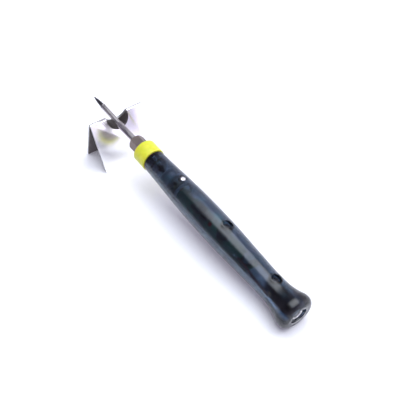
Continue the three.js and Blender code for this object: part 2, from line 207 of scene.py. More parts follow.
def revolve(outline, segments=96, start=0.0, sweep=360.0, axis="Y", centre=(0, 0, 0)):
    """Points and faces of a closed outline turned about an axis through centre."""
    whole = sweep >= 360
    rings = segments if whole else segments + 1
    count = len(outline)
    verts = []
    for i in range(rings):
        angle = math.radians(start + sweep * i / segments)
        for along, radius in outline:
            a, b = radius * math.cos(angle), radius * math.sin(angle)
            point = (a, along, b) if axis == "Y" else (a, b, along)
            verts.append(Vector(point) + Vector(centre))
    faces = []
    for i in range(segments):
        j = (i + 1) % rings
        for k in range(count):
            m = (k + 1) % count
            if outline[k][1] == 0 and outline[m][1] == 0:
                continue
            faces.append((i * count + k, i * count + m, j * count + m, j * count + k))
    if not whole:
        faces.append(tuple(range(count)))
        faces.append(tuple(segments * count + k for k in range(count)))
    return verts, faces


def turned(name, outline, segments=96, axis="Y", centre=(0, 0, 0), smooth=32):
    verts, faces = revolve(outline, segments, axis=axis, centre=centre)
    return make_piece(name, verts, faces, smooth=smooth)


def prism(outline, low, high, plane="XY"):
    """Points and faces of a flat outline pushed along the third axis."""
    count = len(outline)

    def place(a, b, c):
        return {"XY": (a, b, c), "XZ": (a, c, b), "YZ": (c, a, b)}[plane]

    verts = [place(a, b, low) for a, b in outline] + [place(a, b, high) for a, b in outline]
    faces = [tuple(range(count)), tuple(range(count, 2 * count))]
    for k in range(count):
        m = (k + 1) % count
        faces.append((k, m, count + m, count + k))
    return verts, faces


def block(name, x, y, z, matrix=IRON):
    verts, faces = prism([(x[0], y[0]), (x[1], y[0]), (x[1], y[1]), (x[0], y[1])], *z)
    return make_piece(name, verts, faces, matrix=matrix)


def tube(name, points, radius, sides=12):
    """A round wire along a curve, with flat capped ends."""
    verts, faces = [], []
    path = [Vector(p) for p in points]
    normal = (path[1] - path[0]).orthogonal().normalized()
    for i, point in enumerate(path):
        tangent = (path[min(i + 1, len(path) - 1)] - path[max(i - 1, 0)]).normalized()
        normal = (normal - tangent * normal.dot(tangent)).normalized()
        side = tangent.cross(normal)
        for k in range(sides):
            angle = 2 * math.pi * k / sides
            verts.append(point + radius * (normal * math.cos(angle) + side * math.sin(angle)))
    for i in range(len(path) - 1):
        for k in range(sides):
            m = (k + 1) % sides
            a, b = i * sides, (i + 1) * sides
            faces.append((a + k, a + m, b + m, b + k))
    faces.append(tuple(range(sides)))
    faces.append(tuple((len(path) - 1) * sides + k for k in range(sides)))
    return make_piece(name, verts, faces, smooth=50)


def join(name, pieces):
    """One object from several. Their materials come along."""
    work = bmesh.new()
    slots = []
    for piece in pieces:
        first = len(work.faces)
        work.from_mesh(piece.data)
        work.faces.ensure_lookup_table()
        shift = {}
        for i, paint in enumerate(piece.data.materials):
            if paint not in slots:
                slots.append(paint)
            shift[i] = slots.index(paint)
        for face in work.faces[first:]:
            face.material_index = shift.get(face.material_index, 0)
        bpy.data.objects.remove(piece)
    mesh = bpy.data.meshes.new(name)
    work.to_mesh(mesh)
    work.free()
    for paint in slots:
        mesh.materials.append(paint)
    result = bpy.data.objects.new(name, mesh)
    bpy.context.collection.objects.link(result)
    shade(result, 32)
    return result


# ------------------------------------------------------------------ material helpers


def colour_product(tree, first, second):
    """The product of two colour outputs of a node tree."""
    mix = tree.nodes.new("ShaderNodeMix")
    mix.data_type = "RGBA"
    mix.blend_type = "MULTIPLY"
    mix.inputs["Factor"].default_value = 1
    tree.links.new(first, mix.inputs[6])
    tree.links.new(second, mix.inputs[7])
    return mix.outputs[2]


class Paint:
    """A material being built: its nodes, its Principled shader and its object coordinates."""

    def __init__(self, name, **settings):
        self.material = bpy.data.materials.new(name)
        self.material.use_nodes = True
        self.tree = self.material.node_tree
        self.shader = self.tree.nodes["Principled BSDF"]
        for key, value in settings.items():
            socket = self.shader.inputs[key.replace("_", " ").title().replace("Ior", "IOR")]
            socket.default_value = (*value, 1) if isinstance(value, tuple) else value
        source = self.node("ShaderNodeTexCoord")
        mapping = self.node("ShaderNodeMapping")
        mapping.vector_type = "TEXTURE"
        mapping.inputs["Location"].default_value = IRON.translation
        mapping.inputs["Rotation"].default_value = IRON.to_euler("XYZ")
        self.link(source.outputs["Object"], mapping.inputs["Vector"])
        self.world = source.outputs["Object"]
        self.place = mapping.outputs["Vector"]

    def node(self, kind, **settings):
        made = self.tree.nodes.new(kind)
        for key, value in settings.items():
            setattr(made, key, value)
        return made

    def link(self, source, target):
        self.tree.links.new(source, target)

    def stretch(self, scale, source=None):
        """Coordinates scaled by three numbers."""
        made = self.node("ShaderNodeMapping")
        made.inputs["Scale"].default_value = scale
        self.link(source or self.place, made.inputs["Vector"])
        return made.outputs["Vector"]

    def noise(self, scale, detail=3.0, rough=0.5, at=None, distortion=0.0):
        made = self.node("ShaderNodeTexNoise")
        made.inputs["Scale"].default_value = scale
        made.inputs["Detail"].default_value = detail
        made.inputs["Roughness"].default_value = rough
        made.inputs["Distortion"].default_value = distortion
        self.link(at or self.place, made.inputs["Vector"])
        return made.outputs["Fac"]

    def spread(self, source, low, high, from_low=0.3, from_high=0.7):
        """A number remapped to a new range."""
        made = self.node("ShaderNodeMapRange")
        for key, value in zip(
            ("From Min", "From Max", "To Min", "To Max"), (from_low, from_high, low, high)
        ):
            made.inputs[key].default_value = value
        self.link(source, made.inputs["Value"])
        return made.outputs["Result"]

    def colours(self, source, stops):
        made = self.node("ShaderNodeValToRGB")
        ramp = made.color_ramp
        while len(ramp.elements) < len(stops):
            ramp.elements.new(0.5)
        for element, (position, colour) in zip(ramp.elements, stops):
            element.position = position
            element.color = (*colour, 1)
        self.link(source, made.inputs["Fac"])
        return made.outputs["Color"]

    def colour(self, source):
        self.link(source, self.shader.inputs["Base Color"])
        return self

    def roughness(self, source):
        self.link(source, self.shader.inputs["Roughness"])
        return self

    def bump(self, source, distance, strength=1.0):
        """Adds relief, in millimetres, on top of any relief already there."""
        made = self.node("ShaderNodeBump")
        made.inputs["Distance"].default_value = distance * MM
        made.inputs["Strength"].default_value = strength
        self.link(source, made.inputs["Height"])
        target = self.shader.inputs["Normal"]
        if target.links:
            self.link(target.links[0].from_socket, made.inputs["Normal"])
        self.link(made.outputs["Normal"], target)
        return self


def metal(name, light, dark, rough, grain_along=(1, 1, 1), relief=0.01):
    """Metal whose tint and polish vary along its working marks."""
    paint = Paint(name, metallic=1.0)
    blotch = paint.noise(220, 4)
    marks = paint.noise(1800, 3, at=paint.stretch(grain_along))
    paint.colour(paint.colours(blotch, [(0.3, dark), (0.7, light)]))
    paint.roughness(paint.spread(marks, rough * 0.75, rough * 1.3))
    paint.bump(marks, relief, 0.6)
    return paint


# ------------------------------------------------------------------ materials

DISH_RADIUS = 14


def smoke_plastic():
    """Tinted plastic: a surface tint, deeper seen edge-on, and absorption where it is thick."""
    paint = Paint("smoke_plastic", transmission_weight=1.0, ior=1.49)
    swirl = paint.noise(90, 3, 0.6, distortion=0.6)
    tint = paint.colours(
        swirl,
        [(0.28, (0.22, 0.36, 0.41)), (0.5, (0.36, 0.40, 0.50)), (0.72, (0.42, 0.62, 0.66))],
    )
    slant = paint.node("ShaderNodeLayerWeight")
    slant.inputs["Blend"].default_value = 0.35
    depth = paint.colours(
        slant.outputs["Facing"], [(0.2, (1, 1, 1)), (0.85, (0.04, 0.05, 0.06))]
    )
    paint.colour(colour_product(paint.tree, tint, depth))
    paint.roughness(paint.spread(paint.noise(900, 4), 0.15, 0.24))
    paint.bump(paint.noise(160, 2), 0.05, 0.25)
    smoke = paint.node("ShaderNodeVolumeAbsorption")
    smoke.inputs["Color"].default_value = (0.0, 0.13, 0.26, 1)
    smoke.inputs["Density"].default_value = 340
    paint.link(smoke.outputs["Volume"], paint.tree.nodes["Material Output"].inputs["Volume"])
    return paint.material


def yellow_plastic():
    paint = Paint(
        "yellow_plastic",
        subsurface_weight=0.25,
        subsurface_scale=0.0015,
        ior=1.5,
    )
    mottle = paint.noise(500, 3)
    paint.colour(
        paint.colours(mottle, [(0.3, (0.60, 0.61, 0.03)), (0.7, (0.67, 0.68, 0.05))])
    )
    paint.roughness(paint.spread(paint.noise(1500, 3), 0.28, 0.42))
    paint.bump(paint.noise(2500, 2), 0.01, 0.5)
    return paint.material


def sheet_metal(name, light, dark, low, high):
    """Rolled sheet with its grain across the stand, faint waves and clouding."""
    paint = Paint(name, metallic=1.0)
    streaks = paint.noise(900, 4, at=paint.stretch((0.06, 1, 1), paint.world))
    wavy = paint.noise(60, 1, at=paint.world)
    clouds = paint.noise(130, 4, at=paint.world)
    paint.colour(paint.colours(clouds, [(0.3, dark), (0.7, light)]))
    paint.roughness(paint.spread(streaks, low, high))
    paint.bump(wavy, 0.2, 0.35)
    paint.bump(streaks, 0.002, 0.35)
    paint.bump(dish(paint), 2.5)
    return paint.material


def dish(paint):
    """A shallow dip around the punched hole, as a height from -1 at its centre to 0."""
    away = paint.node("ShaderNodeVectorMath", operation="DISTANCE")
    away.inputs[1].default_value = STAND @ (Vector((0, 0, 25.9)) * MM)
    paint.link(paint.world, away.inputs[0])
    squared = paint.node("ShaderNodeMath", operation="POWER")
    squared.inputs[1].default_value = 2
    paint.link(away.outputs["Value"], squared.inputs[0])
    falloff = paint.node("ShaderNodeMath", operation="MULTIPLY")
    falloff.inputs[1].default_value = -1 / (DISH_RADIUS * MM) ** 2
    paint.link(squared.outputs["Value"], falloff.inputs[0])
    bell = paint.node("ShaderNodeMath", operation="EXPONENT")
    paint.link(falloff.outputs["Value"], bell.inputs[0])
    height = paint.node("ShaderNodeMath", operation="MULTIPLY")
    height.inputs[1].default_value = -1
    paint.link(bell.outputs["Value"], height.inputs[0])
    return height.outputs["Value"]


def board_material():
    paint = Paint("board", ior=1.5)
    tracks = paint.node("ShaderNodeTexBrick")
    tracks.offset = 0.3
    for key, value in {
        "Color1": (0.012, 0.13, 0.075, 1),
        "Color2": (0.016, 0.17, 0.10, 1),
        "Mortar": (0.03, 0.27, 0.16, 1),
        "Scale": 240.0,
        "Mortar Size": 0.03,
        "Mortar Smooth": 0.2,
        "Brick Width": 1.4,
        "Row Height": 0.32,
    }.items():
        tracks.inputs[key].default_value = value
    paint.link(paint.place, tracks.inputs["Vector"])
    paint.colour(tracks.outputs["Color"])
    paint.roughness(paint.spread(paint.noise(800, 2), 0.25, 0.4))
    paint.bump(tracks.outputs["Fac"], 0.03, 0.7)
    return paint.material


def moulded(name, light, dark, rough, **settings):
    """Opaque moulded plastic, ceramic or insulation."""
    paint = Paint(name, **settings)
    paint.colour(paint.colours(paint.noise(420, 3), [(0.3, dark), (0.7, light)]))
    paint.roughness(paint.spread(paint.noise(1300, 3), rough * 0.8, rough * 1.25))
    paint.bump(paint.noise(2600, 2), 0.012, 0.5)
    return paint.material


def clear_plastic(name, tint, rough, share):
    paint = Paint(name, transmission_weight=share, ior=1.49)
    pale = tuple(0.85 * c for c in tint)
    paint.colour(paint.colours(paint.noise(500, 3), [(0.3, pale), (0.7, tint)]))
    paint.roughness(paint.spread(paint.noise(1500, 3), rough * 0.7, rough * 1.3))
    return paint.material


def bit_material():
    """Plated copper: dark from heat at the point, straw and grey towards the sleeve."""
    paint = Paint("bit", metallic=1.0)
    split = paint.node("ShaderNodeSeparateXYZ")
    paint.link(paint.place, split.inputs["Vector"])
    ragged = paint.node("ShaderNodeMath", operation="MULTIPLY_ADD")
    ragged.inputs[1].default_value = 0.004
    paint.link(paint.noise(700, 4), ragged.inputs[0])
    paint.link(split.outputs["Y"], ragged.inputs[2])
    along = paint.spread(ragged.outputs["Value"], 0, 1, 0.148, 0.177)
    stops = [
        (0.0, (0.50, 0.47, 0.465)),
        (0.42, (0.50, 0.47, 0.46)),
        (0.56, (0.40, 0.38, 0.38)),
        (0.64, (0.10, 0.095, 0.10)),
        (0.84, (0.11, 0.11, 0.125)),
        (1.0, (0.40, 0.40, 0.43)),
    ]
    paint.colour(paint.colours(along, stops))
    marks = paint.noise(2000, 3, at=paint.stretch((0.2, 2, 0.2)))
    paint.roughness(paint.spread(marks, 0.24, 0.42))
    paint.bump(marks, 0.01, 0.5)
    return paint.material


RINGED = (0.15, 2.5, 0.15)
DRAWN = (2, 0.08, 2)

MATERIALS = {
    "sheet": sheet_metal("sheet", (0.97, 0.96, 0.955), (0.91, 0.91, 0.915), 0.20, 0.25),
    # Inside faces: the same steel painted dark, painted shade of the stand's dim interior.
    "sheet_inside_shade": sheet_metal("sheet_inside_shade", (0.27, 0.245, 0.24), (0.19, 0.17, 0.165), 0.35, 0.5),
    # Cut edges: darker, duller sheared steel, partly painted shade where the bottom bevel meets the
    # floor.
    "sheet_edge_and_shade": sheet_metal("sheet_edge_and_shade", (0.36, 0.36, 0.35), (0.24, 0.24, 0.235), 0.35, 0.5),
    # Back half of the fold: the same steel painted darker, a painted reflection of the dim
    # surroundings.
    "sheet_fold_dark_reflection": sheet_metal("sheet_fold_dark_reflection", (0.50, 0.49, 0.48), (0.36, 0.35, 0.345), 0.3, 0.45),
    "smoke_plastic": smoke_plastic(),
    "yellow_plastic": yellow_plastic(),
    "dark_steel": metal("dark_steel", (0.27, 0.22, 0.20), (0.19, 0.155, 0.145), 0.42, RINGED).material,
    "black_steel": metal("black_steel", (0.10, 0.105, 0.12), (0.06, 0.065, 0.075), 0.4).material,
    "steel": metal("steel", (0.62, 0.585, 0.58), (0.47, 0.445, 0.44), 0.27, DRAWN).material,
    "bit": bit_material(),
    "chrome": metal("chrome", (0.90, 0.90, 0.91), (0.84, 0.84, 0.86), 0.07, RINGED, 0.002).material,
    "ceramic": moulded("ceramic", (0.90, 0.89, 0.86), (0.80, 0.79, 0.75), 0.55),
    "pale_sleeve": moulded("pale_sleeve", (0.42, 0.54, 0.62), (0.30, 0.42, 0.50), 0.4),
    # Heater rod: white ceramic painted near black, painted shade inside the sleeve.
    "ceramic_painted_shade": moulded("ceramic_painted_shade", (0.10, 0.09, 0.085), (0.05, 0.045, 0.04), 0.6),
    "clear_plastic": clear_plastic("clear_plastic", (0.90, 0.94, 0.97), 0.3, 0.35),
    "board": board_material(),
    "chip": moulded("chip", (0.035, 0.035, 0.038), (0.022, 0.022, 0.024), 0.45),
    "led": clear_plastic("led", (0.75, 0.05, 0.04), 0.12, 0.5),
    "brass": metal("brass", (0.80, 0.62, 0.30), (0.66, 0.50, 0.24), 0.25).material,
    "black_plastic": moulded("black_plastic", (0.022, 0.022, 0.025), (0.014, 0.014, 0.016), 0.35),
    "wire_red": moulded("wire_red", (0.16, 0.02, 0.025), (0.11, 0.015, 0.02), 0.4),
    "wire_black": moulded("wire_black", (0.03, 0.03, 0.035), (0.02, 0.02, 0.022), 0.4),
    "solder": metal("solder", (0.75, 0.75, 0.77), (0.6, 0.6, 0.62), 0.2).material,
}


def finish_piece(piece, body, slot, *nodes):
    """Paints a piece, ties it to its body and takes the place of the CAD nodes named."""
    if not piece.data.materials:
        piece.data.materials.append(MATERIALS[slot])
    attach(piece, body)
    if nodes:
        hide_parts(*nodes)
    return piece


def paint_only(piece, slot):
    piece.data.materials.clear()
    piece.data.materials.append(MATERIALS[slot])
    return piece


# ------------------------------------------------------------------ handle shells

PARTING = 0.06
WALL = 1.3
SEGMENTS = 128
NECK_START = 107.1
NECK_END = 119.7
NECK_RADIUS = 5.2
NECK_BORE = 3.9
HANDLE_FRONT = 111.9
JACK_POCKET_START = 2.4
JACK_POCKET_END = 14.6
JACK_POCKET_RADIUS = 4.3
JACK_HOLE_RADIUS = 3.2
PROFILE = [
    (3.3, 9.1),
    (5.4, 8.85),
    (8.0, 7.9),
    (11, 7.17),
    (14, 6.76),
    (19.2, 6.55),
    (25, 6.65),
    (30.6, 6.9),
    (36.5, 7.12),
    (42.5, 7.42),
    (49, 7.7),
    (55, 7.83),
    (61.3, 7.9),
    (68, 7.9),
    (74.6, 7.8),
    (81.5, 7.62),
    (88.5, 7.3),
    (95.7, 6.93),
    (103, 6.55),
    (111.4, 6.25),
]
SCREW_STATIONS = {"screw_front": 53, "screw_rear": 18}
WELL_RADIUS = 2.4
WELL_RIM_RADIUS = 2.9
WELL_DEPTH = 2.8
BOSS_RADIUS = 3.3
POST_RADIUS = 3.0
SCREW_HOLE_RADIUS = 1.2
RIB_STATIONS = (43, 66, 91)
RIB_HALF_WIDTH = 0.6
BALL_STATION = 88.5
BALL_Z = 5.5
BALL_RADIUS = 2.0


def radius_at(station):
    for (y0, r0), (y1, r1) in zip(PROFILE, PROFILE[1:]):
        if y0 <= station <= y1:
            return r0 + (r1 - r0) * (station - y0) / (y1 - y0)
    return PROFILE[0][1]


def shell_outline():
    """The wall's cross-section: recess, rounded butt, outside, neck, and the cavity back again."""
    outside = [tuple(p) for p in spline(PROFILE, 5)]
    butt_curve = [(0.0, 6.0), (0.28, 7.1), (1.0, 8.15), (2.1, 8.85), (3.3, 9.1)]
    butt = [tuple(p) for p in spline(butt_curve, 4)]
    front = rounded(
        [
            (HANDLE_FRONT - 0.3, 6.24, 0),
            (HANDLE_FRONT, 6.1, 0.1),
            (HANDLE_FRONT, NECK_RADIUS, 0.1),
            (NECK_END, NECK_RADIUS, 0.15),
            (NECK_END, NECK_BORE, 0.1),
        ]
    )
    cavity = (JACK_POCKET_END + 1, NECK_START - 1)
    inside = [(NECK_START, NECK_BORE), (NECK_START, 5.0)]
    inside += [(y, r - WALL) for y, r in reversed(outside) if cavity[0] < y < cavity[1]]
    inside += [
        (JACK_POCKET_END, 5.4),
        (JACK_POCKET_END, JACK_POCKET_RADIUS),
        (JACK_POCKET_START, JACK_POCKET_RADIUS),
        (JACK_POCKET_START, JACK_HOLE_RADIUS),
    ]
    recess = rounded([(1.2, JACK_HOLE_RADIUS, 0.1), (1.2, 4.5, 0.3), (0.0, 4.75, 0.3)])
    return butt[:-1] + outside + front + inside + recess


def shell_half(name, top):
    outline = [(y, r - PARTING) for y, r in shell_outline()]
    verts, faces = revolve(outline, SEGMENTS // 2, 0 if top else 180, 180)
    lift = PARTING if top else -PARTING
    verts = [v + Vector((0, 0, lift)) for v in verts]
    return make_piece(name, verts, faces)


def upright(name, x, y, outline, segments=48):
    """A turned shape that stands along the iron's Z axis."""
    return turned(name, outline, segments, "Z", (x, y, 0))


def cylinder(x, y, radius, low, high, segments=48):
    return upright("cutter", x, y, [(low, 0), (low, radius), (high, radius), (high, 0)], segments)


def make_shells():
    top = shell_half("shell_top_skin", True)
    bottom = shell_half("shell_bottom_skin", False)
    for station in SCREW_STATIONS.values():
        skin = radius_at(station)
        floor = skin - WELL_DEPTH
        combine(top, cylinder(0, station, BOSS_RADIUS, 0.12, skin - 0.7), "UNION")
        mouth = upright(
            "cutter",
            0,
            station,
            [
                (floor, 0),
                (floor, WELL_RADIUS),
                (skin - 0.35, WELL_RADIUS),
                (skin + 0.35, WELL_RIM_RADIUS),
                (skin + 2, WELL_RIM_RADIUS),
                (skin + 2, 0),
            ],
            64,
        )
        combine(top, mouth, "DIFFERENCE")
        hole = cylinder(0, station, SCREW_HOLE_RADIUS, -1, floor + 1, 32)
        combine(top, hole, "DIFFERENCE")
        combine(bottom, cylinder(0, station, POST_RADIUS, -skin + 0.7, -0.12), "UNION")
        pilot = cylinder(0, station, SCREW_HOLE_RADIUS, -4.9, 1, 32)
        combine(bottom, pilot, "DIFFERENCE")
    skin = radius_at(BALL_STATION)
    mouth = upright(
        "cutter",
        0,
        BALL_STATION,
        [
            (3, 0),
            (3, 2.25),
            (skin - 0.68, 2.25),
            (skin - 0.60, 1.78),
            (skin - 0.40, 1.78),
            (skin + 0.02, 2.15),
            (skin + 0.3, 2.9),
            (skin + 2, 2.9),
            (skin + 2, 0),
        ],
        64,
    )
    combine(top, mouth, "DIFFERENCE")
    for station in RIB_STATIONS:
        reach = radius_at(station) - 0.7
        rib = arc_points(0, 0, reach, 195, 345, 24)
        verts, faces = prism(rib, station - RIB_HALF_WIDTH, station + RIB_HALF_WIDTH, "XZ")
        combine(bottom, make_piece("rib", verts, faces), "UNION")
    for piece in (top, bottom):
        shade(piece, 30)
    finish_piece(top, "handle", "smoke_plastic", "shell_top")
    finish_piece(bottom, "handle", "smoke_plastic", "shell_bottom")


make_shells()


# ------------------------------------------------------------------ screws and touch ball


def make_screws():
    """Screws with a cross slot and a coarse thread."""
    for name, station in SCREW_STATIONS.items():
        seat = radius_at(station) - WELL_DEPTH + 0.1
        head = rounded(
            [(seat, 2.0, 0.1), (seat + 0.7, 2.0, 0.3), (seat + 1.35, 1.3, 0.6), (seat + 1.4, 0, 0)]
        )
        threads = []
        pitch = 0.7
        z = -4.2
        while z < seat - 0.8:
            threads += [(z, 0.72), (z + pitch / 2, 0.95)]
            z += pitch
        outline = [(-4.6, 0), (-4.6, 0.4), *threads, (seat - 0.3, 0.9), (seat, 0.9), *head]
        screw = upright(name + "_detail", 0, station, outline, 40)
        for x, y in ((1.15, 0.3), (0.3, 1.15)):
            slot = block("cutter", (-x, x), (station - y, station + y), (seat + 0.75, seat + 3))
            combine(screw, slot, "DIFFERENCE")
        shade(screw, 30)
        paint_only(screw, "black_steel")
        finish_piece(screw, "handle", "dark_steel", name)


make_screws()


def make_touch_switch():
    arc = [
        (BALL_Z + BALL_RADIUS * math.sin(a), BALL_RADIUS * math.cos(a))
        for a in (math.radians(-90 + 180 * k / 32) for k in range(33))
    ]
    arc[0] = (arc[0][0], 0)
    arc[-1] = (arc[-1][0], 0)
    ball = upright("touch_ball_polished", 0, BALL_STATION, arc, 64)
    finish_piece(ball, "ball", "chrome", "touch_ball")

    pad = upright(
        "touch_pad_plated",
        0,
        BALL_STATION,
        rounded(
            [
                (-0.3, 0, 0),
                (-0.3, 1.6, 0.05),
                (0, 1.6, 0.1),
                (0, 0.9, 0.1),
                (-0.1, 0.8, 0.05),
                (-0.1, 0, 0),
            ]
        ),
        40,
    )
    finish_piece(pad, "handle", "brass", "touch_pad")

    turns, steps = 4.5, 28
    coil_radius, coil_foot, coil_height = 1.1, 0.32, 2.86
    coil = []
    for i in range(int(turns * steps) + 1):
        angle = 2 * math.pi * i / steps
        part = i / (turns * steps)
        eased = part + 0.035 * math.sin(2 * math.pi * part)
        x = coil_radius * math.cos(angle)
        y = BALL_STATION + coil_radius * math.sin(angle)
        coil.append((x, y, coil_foot + coil_height * eased))
    spring = tube("touch_spring_coil", coil, 0.2, 10)
    finish_piece(spring, "handle", "steel", "touch_spring")


make_touch_switch()


# ------------------------------------------------------------------ front end

RING_START = 112.2
RING_END = 121.2
RING_RADIUS = 6.7
NUT_START = 121.5
NUT_END = 130.0
NUT_ACROSS_FLATS = 7.9
BUSH_START = 105
BUSH_END = 128.6
BUSH_BORE = 2.1
SLEEVE_START = 109
SLEEVE_END = 145.98
SLEEVE_RADIUS = 1.8
SLEEVE_BORE = 1.45
SEAM_WIDTH = 0.45
SEAM_ANGLE = math.radians(-73)


def make_front_end():
    ring = turned(
        "front_ring_moulded",
        rounded(
            [
                (RING_START, 5.5, 0.1),
                (RING_START, RING_RADIUS, 0.25),
                (RING_END, RING_RADIUS, 0.45),
                (RING_END, NECK_BORE, 0.2),
                (RING_END - 1.2, NECK_BORE, 0),
                (RING_END - 1.2, 5.5, 0),
            ],
            5,
        ),
        SEGMENTS,
    )
    finish_piece(ring, "handle", "yellow_plastic", "front_ring")

    threads = []
    y = 121.0
    while y < 128:
        threads += [(y, 2.9, 0), (y + 0.25, 2.65, 0), (y + 0.5, 2.9, 0)]
        y += 0.62
    bush = turned(
        "threaded_bush_detail",
        rounded(
            [
                (BUSH_START, BUSH_BORE, 0.1),
                (BUSH_START, 4.6, 0.2),
                (106.8, 4.6, 0.2),
                (106.8, 3.6, 0),
                (120.7, 3.6, 0.1),
                (120.7, 2.9, 0),
                *threads,
                (BUSH_END, 2.8, 0.1),
                (BUSH_END, BUSH_BORE, 0.1),
            ]
        ),
        72,
    )
    finish_piece(bush, "handle", "steel", "threaded_bush")

    corner = NUT_ACROSS_FLATS / math.sqrt(3)
    hexagon = [
        (corner * math.sin(math.radians(60 * k)), corner * math.cos(math.radians(60 * k)))
        for k in range(6)
    ]
    verts, faces = prism(hexagon, NUT_START, NUT_END, "XZ")
    nut = make_piece("collar_nut_detail", verts, faces)
    chamfer = turned(
        "cutter",
        [
            (NUT_START - 0.1, 0),
            (NUT_START - 0.1, corner - 0.55),
            (NUT_START + 0.5, corner + 0.1),
            (NUT_END - 1.4, corner + 0.1),
            (NUT_END + 0.05, corner - 1.3),
            (NUT_END + 0.05, 0),
        ],
    )
    combine(nut, chamfer, "INTERSECT")
    bore = turned(
        "cutter",
        [
            (NUT_START - 1, 0),
            (NUT_START - 1, 3.2),
            (BUSH_END + 0.3, 3.2),
            (BUSH_END + 0.3, BUSH_BORE),
            (NUT_END + 1, BUSH_BORE),
            (NUT_END + 1, 0),
        ],
        64,
    )
    combine(nut, bore, "DIFFERENCE")
    bevel(nut, 0.12)
    finish_piece(nut, "nut", "dark_steel", "collar_nut")

    sleeve = turned(
        "heater_sleeve_rolled",
        rounded(
            [
                (SLEEVE_START, SLEEVE_BORE, 0),
                (SLEEVE_START, SLEEVE_RADIUS, 0),
                (SLEEVE_END, SLEEVE_RADIUS, 0.2),
                (SLEEVE_END, SLEEVE_BORE, 0.1),
            ]
        ),
        72,
    )
    half = SEAM_WIDTH / 2
    strip = [(-half, 0), (half, 0), (half, 3), (-half, 3)]
    verts, faces = prism(strip, SLEEVE_START - 1, SLEEVE_END + 1, "XZ")
    verts = [Matrix.Rotation(SEAM_ANGLE, 3, "Y") @ Vector(v) for v in verts]
    combine(sleeve, make_piece("cutter", verts, faces), "DIFFERENCE")
    bevel(sleeve, 0.06)
    finish_piece(sleeve, "tip", "steel", "heater_sleeve")

    bit = turned(
        "tip_bit_detail",
        [(139.6, 0)]
        + rounded(
            [
                (139.6, 1.15, 0.1),
                (146.2, 1.15, 0.05),
                (146.2, 1.5, 0.12),
                (162.7, 1.5, 0.05),
                (162.9, 1.62, 0.05),
                (163.5, 1.62, 0.08),
                (163.65, 1.27, 0.1),
            ]
        )
        + [(163.9, 1.25), (166, 1.15), (168, 1.02), (169.5, 0.82), (171, 0.6), (172.2, 0.38)]
        + [(172.7, 0.27), (172.92, 0.13), (173, 0)],
        72,
    )
    finish_piece(bit, "tip", "bit", "tip_bit")

    rod_side = rounded([(91.4, 1.1, 0.15), (139, 1.1, 0.2)])
    rod = turned("heater_rod_detail", [(91.4, 0), *rod_side, (139, 0)], 48)
    # The whole rod gets this painted shade.
    paint_only(rod, "ceramic_painted_shade")
    finish_piece(rod, "handle", "ceramic", "heater_rod")
    holder = turned(
        "rod_holder_detail",
        rounded(
            [
                (92.6, 1.4, 0.1),
                (92.6, 4.9, 0.3),
                (94.0, 4.9, 0.3),
                (94.0, 3.6, 0.2),
                (97.6, 3.6, 0.2),
                (97.6, 4.9, 0.3),
                (99.0, 4.9, 0.3),
                (99.0, 1.4, 0.1),
            ]
        ),
        72,
    )
    finish_piece(holder, "handle", "ceramic", "rod_holder")
    for name, side in (("heater_lead_left", -1), ("heater_lead_right", 1)):
        route = spline([(side * 0.6, 91, 0.1), (side * 1.7, 90.6, 0.5), (side * 2.9, 88.6, 0.1)], 8)
        lead = tube(name + "_wire", route, 0.25)
        finish_piece(lead, "handle", "brass", name)


make_front_end()


# ------------------------------------------------------------------ circuit board and its parts

BOARD_TOP = -0.4
BOARD_THICKNESS = 1.2
BOARD_START = 31
BOARD_STEP = 80
BOARD_END = 91
BOARD_HALF_WIDE = 5
BOARD_HALF_NARROW = 4
BOARD_CORNER = 0.6
BOARD_HOLE_RADIUS = 3.6
SEAT = BOARD_TOP + 0.1


def solder_pad(x, y, radius=0.5):
    dome = [
        (BOARD_TOP - 0.02, 0),
        (BOARD_TOP - 0.02, radius),
        (BOARD_TOP + 0.06, radius * 0.9),
        (BOARD_TOP + 0.22, radius * 0.45),
        (BOARD_TOP + 0.26, 0),
    ]
    return paint_only(upright("pad", x, y, dome, 20), "solder")


def make_board():
    """The board is narrower at its front end and has a hole for the front screw's boss."""
    wide = BOARD_HALF_WIDE - BOARD_CORNER
    narrow = BOARD_HALF_NARROW - BOARD_CORNER
    outline = []
    for x, y, start in (
        (-wide, BOARD_START + BOARD_CORNER, 180),
        (wide, BOARD_START + BOARD_CORNER, 270),
        (wide, BOARD_STEP - BOARD_CORNER, 0),
        (narrow, BOARD_END - BOARD_CORNER, 0),
        (-narrow, BOARD_END - BOARD_CORNER, 90),
        (-wide, BOARD_STEP - BOARD_CORNER, 90),
    ):
        outline += arc_points(x, y, BOARD_CORNER, start, start + 90)
    verts, faces = prism(outline, BOARD_TOP - BOARD_THICKNESS, BOARD_TOP)
    board = make_piece("circuit_board_detail", verts, faces)
    hole = cylinder(0, SCREW_STATIONS["screw_front"], BOARD_HOLE_RADIUS, -4, 4, 64)
    combine(board, hole, "DIFFERENCE")
    paint_only(board, "board")
    pads = [solder_pad(x, y) for x in (-3.1, 3.1) for y in (38.9, 40.9, 86.6, 88.4)]
    pads += [solder_pad(x, y, 0.35) for x in (-4.2, 4.2) for y in (47, 56.5, 68, 78)]
    assembly = join("circuit_board_assembly", [board, *pads])
    finish_piece(assembly, "handle", "board", "circuit_board")


